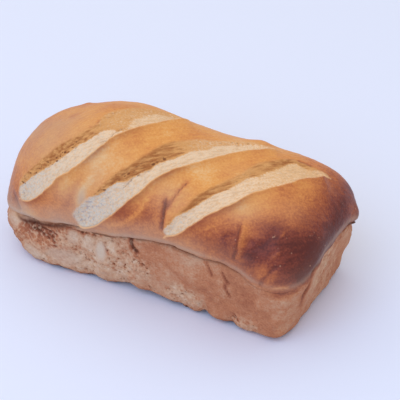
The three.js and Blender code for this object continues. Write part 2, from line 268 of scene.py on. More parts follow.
# Height and inset of the base edge: the largest of the hollows along its side.
def hollowAt(x, y):
    side = ease((np.abs(y) / baseOutline["half"] - 0.6) / 0.3)
    front, back = (
        np.max([np.stack([height, inset])[:, *[None] * x.ndim] * bell((x - at) / reach)
                for at, reach, height, inset in hollows], axis=0)
        for hollows in (frontHollows, backHollows)
    )
    return side * np.where(y < 0, front, back)


# A point of the dome: its height climbs from the widest line to the crown as a superellipse of its ring.
def domePoint(a, b, level):
    x, y, ring = planPoint(a, b, domeOutline, level)
    climb = (1 - np.minimum(1, ring) ** form["sectionIn"]) ** (1 / form["sectionUp"])
    return np.stack([x, y, mix(around(creaseHeight, x, y) + form["lipRise"], along(crownLine, x), climb)], -1)


# A point of the wall: a straight line from base edge to crease, drawn in at the edge and under the dome,
# there by a share of the overhang that grows evenly and by a rest that eases in over the wall's top.
def wallPoint(a, b, share):
    footX, footY, _ = planPoint(a, b, baseOutline, 1)
    rimX, rimY, _ = planPoint(a, b, domeOutline, 1)
    splay = form["footSplay"] * ease(-b) * ease((-35 - footX) / 45)
    hollow, inward = hollowAt(footX, footY)
    height = mix(hollow, around(creaseHeight, rimX, rimY), share)
    x, y = mix(footX, rimX, share), mix(footY - splay, rimY, share)
    outX, outY = x - np.clip(x, *form["drawMiddle"]), y
    size = np.maximum(np.hypot(outX, outY), 1e-6)
    edge = form["edgeInset"] * (1 - np.clip(height / form["edgeHeight"], 0, 1)) ** 2
    even = form["drawEven"]
    drawn = even * share + (1 - even) * ease((share - (1 - even)) / even)
    inset = edge + inward * (1 - share) ** 2 + around(overhang, rimX, rimY) * drawn
    return np.stack([x - outX / size * inset, y - outY / size * inset, height], -1)


# The underside of the lip: a quarter turn from the crease out to the widest of the dome.
def lipPoint(a, b, share):
    crease, widest = wallPoint(a, b, 1), domePoint(a, b, 1)
    turn = (share * np.pi / 2)[..., None]
    height = mix(crease[..., 2:], widest[..., 2:], 1 - np.cos(turn))
    return np.concatenate([mix(crease, widest, np.sin(turn))[..., :2], height], -1)


# The base: level from the middle line out to the flat's edge, then straight to the base edge.
def basePoint(a, b, share):
    flatShare = 1 - form["restInset"] / baseOutline["half"]
    x, y, _ = planPoint(a, b, baseOutline, np.minimum(share, flatShare))
    out = np.clip((share - flatShare) / (1 - flatShare), 0, 1)[..., None]
    return mix(np.stack([x, y, 0 * x], -1), wallPoint(a, b, 0), out)


# The whole surface: a sleeve of rings from the middle line of the base up to the shoulder, closed above by
# a sheet. Gives its points, its quads, and for each point how many rows it is above or below the crease.
def loafLattice():
    long, wide = lattice["along"], lattice["across"]
    columns, rows = np.linspace(-1, 1, long + 1), np.linspace(-1, 1, wide + 1)
    a = np.concatenate([columns[:-1], np.ones(wide), columns[:0:-1], -np.ones(wide)])
    b = np.concatenate([-np.ones(long), rows[:-1], np.ones(long), rows[:0:-1]])
    count = len(a)
    flatShare = 1 - form["restInset"] / baseOutline["half"]
    level = form["shoulderLevel"]
    turns = np.linspace(0, math.acos(level ** (form["sectionIn"] / 2)), lattice["side"] + 1)[1:]
    steps = [
        (basePoint, np.linspace(0, flatShare, lattice["flat"], endpoint=False)),
        (basePoint, np.linspace(flatShare, 1, lattice["band"], endpoint=False)),
        (wallPoint, np.linspace(0, 1, lattice["wall"], endpoint=False)),
        (lipPoint, np.linspace(0, 1, lattice["lip"], endpoint=False)),
        (domePoint, np.concatenate([[1], np.cos(turns) ** (2 / form["sectionIn"])])),
    ]
    rings = [make(a[None], b[None], shares[:, None] + 0 * a[None]) for make, shares in steps]
    sleeve = np.concatenate(rings)
    creaseRow = lattice["flat"] + lattice["band"] + lattice["wall"]
    sleeveRows = np.repeat(np.arange(len(sleeve)) - creaseRow, count)
    sheet = domePoint(*np.meshgrid(columns[1:-1], rows[1:-1], indexing="ij"), level)
    points = np.concatenate([sleeve.reshape(-1, 3), sheet.reshape(-1, 3)])
    rowsFromCrease = np.concatenate([sleeveRows, np.full(sheet[..., 0].size, sleeveRows[-1])])

    index = np.arange(len(sleeve) * count).reshape(len(sleeve), count)
    # the middle line of the base is one line, so its back points are its front ones
    i = np.arange(long + 1)
    index[0, (2 * long + wide - i) % count] = i
    index[0, long:long + wide + 1] = long
    index[0, 2 * long + wide:] = 0
    after = np.roll(index, -1, axis=1)
    quads = np.stack([index[:-1], after[:-1], after[1:], index[1:]], -1).reshape(-1, 4)

    top = np.empty((long + 1, wide + 1), int)
    top[1:-1, 1:-1] = len(sleeve) * count + np.arange(sheet[..., 0].size).reshape(sheet.shape[:2])
    rim = index[-1]
    top[:, 0] = rim[:long + 1]
    top[-1, :] = rim[long:long + wide + 1]
    top[::-1, -1] = rim[long + wide:2 * long + wide + 1]
    top[0, ::-1] = np.append(rim[2 * long + wide:], rim[0])
    lid = np.stack([top[:-1, :-1], top[1:, :-1], top[1:, 1:], top[:-1, 1:]], -1).reshape(-1, 4)
    return points, np.concatenate([quads, lid]), rowsFromCrease


# Outward unit normals at the points: the sums of the crossed diagonals of the quads round each.
def normalsOf(points, quads):
    corners = points[quads]
    crossed = np.cross(corners[:, 2] - corners[:, 0], corners[:, 3] - corners[:, 1])
    normals = np.stack(
        [np.bincount(quads.ravel(), np.repeat(crossed[:, k], 4), len(points)) for k in range(3)], -1
    )
    return normals / np.maximum(np.linalg.norm(normals, axis=1, keepdims=True), 1e-12)


# The mean of the points that share a quad's side with each point.
def neighbourMean(values, quads):
    ends = np.concatenate([quads[:, [0, 1]], quads[:, [1, 2]], quads[:, [2, 3]], quads[:, [3, 0]]])
    here, there = np.concatenate([ends, ends[:, ::-1]]).T
    counts = np.maximum(np.bincount(here, minlength=len(values)), 1)
    flat = values.reshape(len(values), -1)
    sums = np.stack([np.bincount(here, flat[there, k], len(values)) for k in range(flat.shape[1])], -1)
    return (sums / counts[:, None]).reshape(values.shape)


# A random number from -1 to 1 that belongs to a place with whole coordinates.
def chance(i, j, k):
    wave = np.sin(i * 12.9898 + j * 78.233 + k * 37.719) * 43758.5453
    return 2 * (wave - np.floor(wave)) - 1


# Uneven swells from -1 to 1, eased between the random numbers of the places around a point.
def noise(x, y, z):
    i, j, k = np.floor(x), np.floor(y), np.floor(z)
    s, t, u = ease(x - i), ease(y - j), ease(z - k)
    corner = {
        (back, up): mix(chance(i, j + back, k + up), chance(i + 1, j + back, k + up), s)
        for back in (0, 1)
        for up in (0, 1)
    }
    return mix(mix(corner[0, 0], corner[1, 0], t), mix(corner[0, 1], corner[1, 1], t), u)


# Swells of a size in millimetres with finer ones on them, each half as large and high, turned so that
# their lattices don't line up.
def grain(points, size, layers=3, start=0.0):
    total, height = 0, 1
    for layer in range(layers):
        turn = 0.7 + 1.9 * layer
        x, y, z = (points / size).T
        across = x * math.cos(turn) - y * math.sin(turn)
        deep = x * math.sin(turn) + y * math.cos(turn)
        up = z * math.cos(turn) - deep * math.sin(turn)
        deep = z * math.sin(turn) + deep * math.cos(turn)
        total = total + height * noise(across + start + 5.3 * layer, deep - start, up + 2.7 * layer)
        size, height = size / 2, height / 2
    return total


# Round pits: each cell of a lattice holds one at a random place and of a random radius. Gives how deep a
# point is in the nearest, from 0 at its rim to 1 at its middle. Spread is the share of cells with a pit.
def pits(points, spacing, radius, spread=1.0, start=0.0):
    spots = points / spacing + start
    home = np.floor(spots)
    deepest = np.zeros(len(points))
    for step in np.ndindex(3, 3, 3):
        i, j, k = (home + step - 1).T
        draws = [chance(i + n, j - 2 * n, k + 3 * n) / 2 + 0.5 for n in (11, 23, 37, 51, 67)]
        middle = np.stack([i + draws[0], j + draws[1], k + draws[2]], -1)
        reach = radius / spacing * mix(0.5, 1.0, draws[3])
        far = np.linalg.norm(spots - middle, axis=1)
        deepest = np.maximum(deepest, (1 - far / reach) * (draws[4] < spread))
    return ease(deepest * 1.6)


# A slash as a strip over the dome: where it starts, its direction, the direction to its left and its length.
# Distances run along the loaf and, from the slant angle, round it.
def stripOf(slash):
    start, end = (
        np.array([x, math.radians(angle - 90) * form["roundRadius"]])
        for x, angle in (slash["start"], slash["end"])
    )
    length = math.hypot(*(end - start))
    way = (end - start) / length
    return start, way, np.array([-way[1], way[0]]), length


# Slant angle of each point round the loaf, from the front, and its outward direction from the axis.
def slantOf(points):
    angle = np.arctan2(points[:, 2] - form["axisHeight"], -points[:, 1])
    return angle, np.stack([0 * angle, -np.cos(angle), np.sin(angle)], -1)


# Where each point lies on a slash's strip: the share along it, and the distance to the left of its line.
def slashPlace(slash, points):
    start, way, left, length = stripOf(slash)
    angle, _ = slantOf(points)
    spot = np.stack([points[:, 0], (angle - np.pi / 2) * form["roundRadius"]], -1) - start
    return spot @ way / length, spot @ left


# How the torn edge of a slash wanders: swells of falling size along it.
def wander(slash, share, start):
    place = share * stripOf(slash)[3]
    swung = (
        height * noise(place / size + start, 0 * place + size, 0 * place)
        for size, height in cut["tearSwells"]
    )
    return cut["tear"] * sum(swung)


# How far a place on the crust is raised by the lips of the slashes: a bell beside the near edge.
def lipRelief(points):
    raised = np.zeros(len(points))
    for slash in slashes:
        share, offset = slashPlace(slash, points)
        near = along(slash["near"], share)
        opened = np.minimum(1, (along(slash["far"], share) - near) / cut["fullOpening"])
        beside = near - offset
        crest = bell(beside / np.where(beside > 0, cut["lipReach"], cut["lipDrop"]))
        rising = ease((share + cut["overrun"]) / cut["lipStart"])
        falling = ease((1 + cut["overrun"] - share) / cut["lipEnd"])
        raised += cut["lipLift"] * crest * opened * rising * falling
    return raised


# Slow swells of the crust and rougher ones of the wall, each a height, a reach along the loaf and one across
# it, and a start in the noise. The dome's give way to the wall's over fade below the lip, and the wall's end
# over footFade above the base.
swells = {
    "dome": [(1.1, 36, 26, 3.1), (0.5, 17, 15, 7.3)],
    "wall": [(1.4, 24, 20, 9.2), (1.1, 10, 8, 5.7)],
    "fade": 12,
    "footFade": 8,
}


def swell(points):
    x, y, z = points.T
    side = ease((around(creaseHeight, x, y) + form["lipRise"] - z) / swells["fade"])
    onDome, onWall = (
        sum(
            height * noise(x / long + start, y / wide, z / wide)
            for height, long, wide, start in swells[name]
        )
        for name in ("dome", "wall")
    )
    return mix(onDome, onWall * ease(z / swells["footFade"]), side)


# Draws the points within reach of a slash's near edge over the surface towards it, by a power of their
# distance, so that the sheer drop falls between close points.
def pullToEdges(points, normals):
    for n, slash in enumerate(slashes):
        left = stripOf(slash)[2]
        share, offset = slashPlace(slash, points)
        line = along(slash["near"], share) + wander(slash, share, n)
        half = (along(slash["far"], share) - along(slash["near"], share)) / 2
        reach = np.clip(half, 0.5, cut["pull"])
        beside = offset - line
        drawn = np.sign(beside) * reach * (np.abs(beside) / reach) ** cut["pullPower"]
        within = ease(share / cut["pullFade"] + 0.5) * ease((1 - share) / cut["pullFade"] + 0.5)
        move = np.where(np.abs(beside) < reach, drawn - beside, 0) * within
        angle, outwards = slantOf(points)
        radius = np.hypot(points[:, 1], points[:, 2] - form["axisHeight"])
        turn = left[1] * radius / form["roundRadius"]
        step = np.stack([left[0] + 0 * turn, turn * np.sin(angle), turn * np.cos(angle)], -1)
        facing = np.einsum("ij,ij->i", normals, outwards)
        sunk = np.einsum("ij,ij->i", normals, step) / np.maximum(facing, 0.3)
        points = points + np.where(facing > 0.3, move, 0)[:, None] * (step - sunk[:, None] * outwards)
    return points


# The slashes' relief: a floor at a share of the depth by its place across, behind an eased drop from each
# edge, with strands on the browned part. With it come how far each point is inside a slash and from its near
# edge, in millimetres, and, from 0 to 1, how much its colour is the crumb's, how browned, golden and dotted
# with pores that is, and how scorched the crust is, with painted shade where the lip turns from the light.
def slashRelief(points):
    relief, opened, browned, tone, porous, scorched = (np.zeros(len(points)) for _ in range(6))
    inside, rim = np.full(len(points), -20.0), np.full(len(points), -20.0)
    margin = 3  # the colours' shares run on this far outside a slash
    for n, slash in enumerate(slashes):
        length = stripOf(slash)[3]
        share, offset = slashPlace(slash, points)
        near = along(slash["near"], share) + wander(slash, share, n)
        far = along(slash["far"], share) + wander(slash, share, n + 20)
        pale = along(slash["pale"], share) + cut["paleTear"] * wander(slash, share, n + 40)
        within = np.minimum(share, 1 - share) * length
        here = np.minimum(np.minimum(offset - near, far - offset), within)
        inside = np.maximum(inside, here)
        rim = np.where((within > -margin) & (offset < far), np.maximum(rim, offset - near), rim)

        width = np.maximum(far - near, 0.5)
        full = np.minimum(1, width / cut["fullOpening"])
        floor = -slash["depth"] * full * ease(within / cut["endSlope"])
        floor = floor * along(cut["floor"], (offset - near) / width) * ease((offset - near) / cut["sheer"])
        floor = floor * ease((far - offset) / cut["farSheer"]) * ease(within / 1.5)
        curl = cut["curl"] * full * bell((near - offset) / cut["curlReach"]) * (offset < near) * (within > 0)
        relief += np.where(here > 0, floor, curl)
        strands = grain(np.stack([share * length, offset, 0 * offset + n], -1) / (*cut["strand"], 1), 1, 2)
        past = ease((offset - pale) / cut["paleBlend"] + 0.5)
        brown = along(slash["brown"], share)
        relief += ease(here / 1.5) * past * brown * (cut["strandHeight"] * strands + cut["strandBase"])

        browned = np.where(here > -margin, past * brown, browned)
        tone = np.where(here > -margin, along(slash["tone"], share), tone)
        dots = bell((offset - pale - cut["poreShift"]) / cut["poreBand"]) * along(slash["pores"], share)
        porous = np.maximum(porous, dots * (here > 0.5))
        bared = ease((offset - near) / 0.8 + 0.3) * ease((far - offset) / cut["farBlend"] + 0.5)
        opened = np.maximum(opened, bared * ease(within / 2))
        beside = near - offset
        # scorch outside the near edge, also painted shade where the lip turns away from the light
        burntAndShaded = along(slash["scorchAndShade"], share) * ease(beside / 1.2) * bell(beside / cut["scorchAndShadeReach"])
        scorched = np.maximum(scorched, burntAndShaded * (within > 0))
    colours = {"opened": opened, "browned": browned, "tone": tone, "porous": porous, "scorched": scorched}
    return relief, inside, {"rim": rim, **colours}


# The wall's finish: lines along the front, and patches of a place and reaches.
wallFinish = {
    "creaseDepth": [
        (-125, 0), (-103, 0.5), (-95, 4), (-70, 4), (-50, 2.6), (0, 2.2), (60, 1.4), (80, 0.8), (100, 0),
    ],
    "creaseBack": 1.5,  # its depth at the back, and how dark its painted shade is there
    "creaseBackShade": 0.5,
    # how dark the painted shade in the crease under the lip is, along the front
    "creaseShadeStrength": [
        (-106, 0), (-98, 0.8), (-62, 0.85), (-50, 0.7), (0, 0.75), (60, 0.7), (80, 0.5), (92, 0.3), (100, 0),
    ],
    # how many rows of the surface the painted shade lies below the crease, and over how many it spreads
    "creaseShadeDrop": [(-105, 2), (-96, 7), (-80, 6), (-62, 4.5), (-50, 2), (0, 0.5), (125, 0)],
    "creaseRows": 1.6,
    "shadeRows": 1.9,
    "creaseWander": 1.3,
    # how far below the crease the finish starts, and over what distance it comes in
    "sideStart": [
        (-125, -5), (-105, -2), (-98, 4), (-80, 4), (-62, 2), (-50, 0), (80, 0), (90, -4), (102, -10),
        (125, -10),
    ],
    "sideBlend": [(-125, 10), (-105, 8), (-96, 2), (80, 2), (90, 6), (102, 14), (125, 14)],
    "backBlend": 2.5,
    "sideUneven": 0.25,  # share of that distance by which its upper edge wanders
    "sideUnevenSize": 7,
    "goldPatch": ((111, -56, 49), (8, 9, 4)),  # keeps goldShare of the dome's colour
    "goldShare": 0.7,
    "tornBias": [(-125, 0.75), (-12, 0.7), (4, 0.15), (125, 0.0)],  # share of the front that is torn
    "backBias": 0.3,
    "tornBreak": 0.35,  # how far noise of tornBreakSize mm breaks that share up
    "tornBreakSize": 14,
    "tornCoarse": (0.9, 7),  # height and size of the torn parts' relief
    "tornFine": (0.35, 2.4),
    "tornPatches": [
        ((38, -50, 12), 15, 1.2), ((85, -51, 6), 11, 1.1), ((4, -53, 29), 10, 0.5), ((106, -52, 18), 9, 0.35),
    ],
    "smoothSpots": [
        ((-106, -46, 30), 8, 8, 0.5), ((-60, -53, 16), 16, 9, 0.5), ((-88, -52, 10), 10, 8, 0.45),
        ((-51, -54, 37), 5, 7, 0.4), ((-38, -54, 36), 6, 6, 0.35), ((-28, -54, 33), 4.5, 9, 1),
    ],
    "pitSpacing": 4.4,
    "pitRadius": 2.4,
    "pitDepth": 1.1,
    "pitShare": 0.55,
    "wallGrain": 0.25,  # height of the fine grain where the wall isn't torn, and on the dome
    "domeGrain": 0.16,
}

# Folds, cracks and streaks: a path over the surface, then depth and width of its groove and how much darker
# it is, painted shade in the groove, a paler line where below 0. Some have a step as well: how far and over
# what reach the surface to the right of the path stands up, and how much darker that side is, all below 0:
# painted light on the raised side.
strokes = [
    # beside the lower tip of the third slash
    ([(24, -59, 70), (23, -56, 79), (22, -52, 84), (20, -44, 91)], 1.5, 1.5, 0.4, 1.6, 6, -0.12),
    ([(24, -52, 84), (25, -46, 89), (27, -39, 94), (31, -30, 99)], 0.8, 1.3, 0.25, 0.9, 4, -0.05),
    # right of it, down to the lip
    ([(78, -60, 66), (79, -58, 74), (78, -54, 80), (77, -45, 90)], 0.7, 1.4, 0.2, 2.0, 5, -0.14),
    ([(69, -58, 78), (69, -56, 81), (72, -55, 83), (76, -52, 84)], 0.8, 1.6, 0.12),
    # the edge of the torn lens below the middle slash
    (
        [(-20, -62, 65), (-8, -61, 68), (3, -58, 78), (7, -53, 85), (7, -50, 89)],
        -0.3, 1.0, -0.12, 0.6, 3, -0.06,
    ),
    # stretch marks between the first two slashes
    ([(-43, -57, 68), (-42, -54, 76), (-39, -50, 84), (-34, -45, 91)], -0.5, 2.2, -0.16),
    ([(-50, -58, 64), (-49, -55, 74), (-46, -50, 82), (-44, -44, 89)], 0.7, 2.6, 0.1),
    ([(-58, -56, 70), (-56, -52, 79), (-53, -47, 85)], -0.3, 2.0, -0.08),
    # creases of the dark end
    ([(83, -59, 70), (85, -55, 77), (88, -50, 83)], 1.0, 3.6, 0.14),
    ([(89, -59, 70), (91, -55, 76), (95, -49, 83)], 0.7, 2.6, 0.1),
    ([(96, -53, 76), (97, -47, 82), (100, -39, 88)], 0.9, 3.0, 0.12),
    ([(101, -55, 71), (104, -51, 74), (107, -47, 77)], -0.6, 1.2, -0.1),
    ([(103, -44, 83), (105, -38, 86)], -0.6, 0.8, -0.16),
    ([(97, -60, 51), (99, -60, 57), (103, -57, 64), (107, -53, 70)], 0.8, 1.1, 0.2),
    ([(87, -15, 99), (92, -13, 99)], 0.4, 0.8, 0.12),
    # inside the first slash, and beside its upper end
    (
        [(-48, -27, 101), (-41, -23, 103), (-37, -22, 106), (-38, -17, 106), (-36, -12, 107), (-31, -4, 108)],
        0.9, 0.9, 0,
    ),
    ([(-56, -19, 106), (-52, -16, 107), (-52, -8, 110)], 0.6, 1.2, 0.25),
    ([(-14, -47, 85), (-11, -43, 89), (-9, -40, 92)], 0.8, 0.9, 0),
    ([(82, 27, 97), (87, 27, 95), (94, 28, 93)], 0.6, 1.1, 0.35),
    # a soft hollow where the crease turns up round the left end
    ([(-108, -44, 50), (-102, -48, 49), (-98, -51, 46), (-94, -52, 43)], 1.4, 2.6, 0.25),
    # the crease's second, torn line, and the folds that hang below it
    (
        [(-62, -53, 42.5), (-52, -53, 43.5), (-45, -53, 43.5), (-36, -53, 44.5), (-31, -54, 43)],
        1.2, 1.0, 0.35,
    ),
    ([(-88, -51, 31), (-80, -52, 32.5), (-74, -53, 31), (-69, -54, 28)], 0.9, 0.9, 0.4),
    ([(-84, -51, 34.5), (-76, -52, 35.5), (-68, -53, 35), (-63, -54, 33)], 0.9, 0.9, 0.4),
    ([(-74, -54, 33), (-68, -54, 32), (-65, -54, 27)], 0.9, 0.9, 0.4),
    ([(-66, -54, 26.5), (-65, -54, 24)], 1.2, 1.2, 0.5),
    ([(-45, -53, 43), (-41, -54, 41)], 1.0, 1.0, 0.35),
    # cracks of the wall
    ([(0, -59, 58), (-2, -57, 54), (-2, -56, 49), (0, -55, 45), (4, -55, 42)], 1.4, 1.2, 0.75),
    ([(-3, -56, 47), (0, -55, 42), (2, -55, 38)], 0.8, 0.9, 0.25),
    ([(0, -54, 33), (6, -54, 32), (9, -53, 29)], 0.8, 0.9, 0.3),
    ([(-24, -54, 43), (-25, -54, 38), (-22, -54, 34)], 0.8, 1.0, 0.35),
    ([(-18, -53, 27), (-19, -51, 21), (-19, -50, 16)], 0.8, 1.1, 0.3),
    ([(55, -57, 57), (58, -56, 51), (61, -56, 43)], 0.6, 0.9, 0.28),
    ([(68, -57, 54), (71, -57, 47), (75, -57, 43)], 0.6, 0.9, 0.34, 0.4, 3, -0.06),
    ([(71, -57, 45), (71, -56, 37), (73, -53, 28)], 0.6, 0.9, 0.34, 0.4, 3, -0.06),
    ([(73, -53, 16), (77, -53, 12), (79, -51, 9)], 0.8, 1.1, 0.25),
    ([(98, -60, 52), (96, -56, 38), (95, -55, 23), (94, -52, 8)], -0.6, 1.8, -0.05),
    # pale lines above and below the golden patch of the right corner
    ([(105, -58, 52), (111, -56, 54), (116, -52, 53)], -0.3, 0.9, -0.15),
    ([(103, -57, 41), (109, -56, 42), (114, -53, 41)], -0.3, 1.0, -0.1),
    # the right corner's seam
    (
        [(125, -29, 62), (124, -34, 56), (123, -33, 48), (121, -36, 41), (119, -37, 33), (115, -29, 15)],
        1.1, 1.8, 0.22,
    ),
]
strokeEnd = 0.2  # share of a stroke over which it fades to its ends


# A smooth path through a few points.
def smoothPath(path, steps=8):
    places = np.arange(len(path))
    at = np.linspace(0, len(path) - 1, steps * (len(path) - 1) + 1)
    return np.stack([along(list(zip(places, axis)), at) for axis in zip(*path)], -1)


# Distance over the surface from each point to a path, the share along it, and 1 to its right or -1 to its
# left. What lies along a point's normal counts only past 4 mm.
def pathPlace(points, normals, path):
    spots = smoothPath(path)
    nearest = np.full(len(points), np.inf)
    share, side = np.zeros(len(points)), np.ones(len(points))
    for n, (start, end) in enumerate(zip(spots[:-1], spots[1:])):
        way = end - start
        place = np.clip((points - start) @ way / (way @ way), 0, 1)
        off = points - start - place[:, None] * way
        deep = np.einsum("ij,ij->i", off, normals)
        off = off - np.clip(deep, -4, 4)[:, None] * normals
        far = np.linalg.norm(off, axis=1)
        closer = far < nearest
        nearest = np.where(closer, far, nearest)
        share = np.where(closer, (n + place) / (len(spots) - 1), share)
        side = np.where(closer, np.sign(np.einsum("ij,ij->i", np.cross(way, normals), off)), side)
    return nearest, share, side


# The groove of each stroke and the step beside it, fading to its ends, and the painted shade and light they
# put on the crust.
def strokeRelief(points, normals):
    relief, strokeShade = np.zeros(len(points)), np.zeros(len(points))
    for path, depth, width, lineShade, *raised in strokes:
        rise, reach, beside = raised or (0, 1, 0)
        far, share, side = pathPlace(points, normals, path)
        fade = ease(share / strokeEnd + 0.1) * ease((1 - share) / strokeEnd + 0.1)
        step = bell(far / reach) * np.where(side > 0, ease(far / width), 0)
        groove = bell(far / width)
        relief += fade * (rise * step - depth * groove)
        strokeShade += fade * (lineShade * bell(far / width / 1.3) + beside * step)
    return relief, strokeShade


# Where the wall is torn and rough, from 0 to 1: a share by place, patches and smooth spots, broken by noise.
def tornShare(points):
    x, y, _ = points.T
    bias = np.where(y < -20, along(wallFinish["tornBias"], x), wallFinish["backBias"])
    for middle, reach, share in wallFinish["tornPatches"]:
        bias = bias + share * bell(np.linalg.norm(points - middle, axis=1) / reach)
    broken = wallFinish["tornBreak"] * grain(points, wallFinish["tornBreakSize"], 3, 4.0)
    torn = ease((bias + broken) / 0.5 - 0.35)
    smooth = np.zeros(len(points))
    for middle, wide, tall, share in wallFinish["smoothSpots"]:
        off = (points - middle) / (wide, wide, tall)
        smooth = np.maximum(smooth, share * ease(1.6 - 1.3 * np.linalg.norm(off, axis=1)))
    return torn * (1 - smooth), smooth


# Share of the wall's finish, from 0 on the dome to 1 below the crease. Round the front's right corner, where
# the dome runs down into the wall without a fold, it comes in slowly.
def sideShare(points, under):
    x, y, _ = points.T
    front = ease((-y - 15) / 25)
    start = front * along(wallFinish["sideStart"], x)
    over = mix(wallFinish["backBlend"], along(wallFinish["sideBlend"], x), front)
    uneven = wallFinish["sideUneven"] * over * grain(points, wallFinish["sideUnevenSize"], 3, 21.0)
    side = ease((under - start + uneven) / over)
    middle, reach = wallFinish["goldPatch"]
    return side * (1 - wallFinish["goldShare"] * bell(np.linalg.norm((points - middle) / reach, axis=1)))


